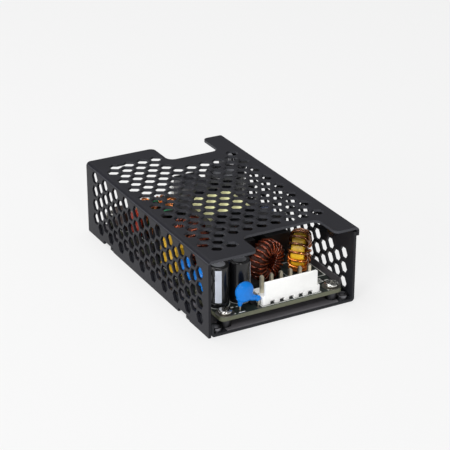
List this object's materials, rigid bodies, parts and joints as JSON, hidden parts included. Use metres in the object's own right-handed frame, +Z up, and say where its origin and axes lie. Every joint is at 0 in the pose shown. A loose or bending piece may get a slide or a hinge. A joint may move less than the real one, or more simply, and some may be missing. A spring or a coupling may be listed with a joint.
{
  "type": "enclosed open-ended switching power supply",
  "caption": "Open-ended switching power supply: a converter board with pin headers, chokes and a transformer in a folded steel case with hexagonal vents.",
  "frame": {"origin": "centre of the bottom face of the case", "axes": "+Z up, -Y out of the output end with the six-way header, +X towards the wall of the base"},
  "size_m": [0.062, 0.1034, 0.03],
  "materials": {
    "coated_steel": "satin powder coat",
    "film": "smooth film",
    "board": "solder mask",
    "steel": "bright zinc",
    "dark_screw": "black zinc",
    "white_plastic": "moulded",
    "tinned_pin": "tinned",
    "can_sleeve": "shrink sleeve",
    "blue_coating": "dipped epoxy",
    "red_coating": "dipped epoxy",
    "yellow_case": "moulded",
    "dark_ferrite": "sintered",
    "yellow_core": "coated core",
    "green_core": "coated core",
    "copper_wire": "enamelled",
    "black_plastic": "moulded",
    "pale_tape": "polyester tape",
    "plate": "anodised"
  },
  "bodies": {
    "root": {"base": "coated_steel", "cover": "coated_steel", "insulation_sheet": "film", "circuit_board": "board", "board_standoffs": "steel", "board_screws": "steel", "threaded_inserts": "steel", "cover_screws": "dark_screw", "cover_nuts": "steel", "output_header": "white_plastic", "output_pins": "tinned_pin", "input_header": "white_plastic", "input_pins": "tinned_pin", "output_capacitor_left": "can_sleeve", "output_capacitor_right": "can_sleeve", "noise_capacitor": "blue_coating", "ferrite_bead": "dark_ferrite", "safety_capacitor_front": "blue_coating", "safety_capacitor_back": "blue_coating", "film_capacitor": "yellow_case", "output_choke_core": "dark_ferrite", "output_choke_winding": "copper_wire", "filter_choke_core": "yellow_core", "filter_choke_winding": "copper_wire", "transformer_core": "dark_ferrite", "transformer_bobbin": "black_plastic", "transformer_winding": "pale_tape", "bias_capacitor": "can_sleeve", "output_heatsink": "plate", "output_rectifiers": "black_plastic", "boost_choke_core": "yellow_core", "boost_choke_winding": "copper_wire", "primary_heatsink": "plate", "primary_switch": "black_plastic", "line_choke_core": "green_core", "line_choke_windings": "copper_wire", "line_choke_base": "black_plastic", "suppression_capacitor": "black_plastic", "bulk_capacitor": "can_sleeve", "varistor": "red_coating", "fuse": "black_plastic", "bridge_rectifier": "black_plastic", "drum_choke_core": "dark_ferrite", "drum_choke_winding": "copper_wire", "optocouplers": "white_plastic", "control_chip": "black_plastic"}
  },
  "joints": []
}
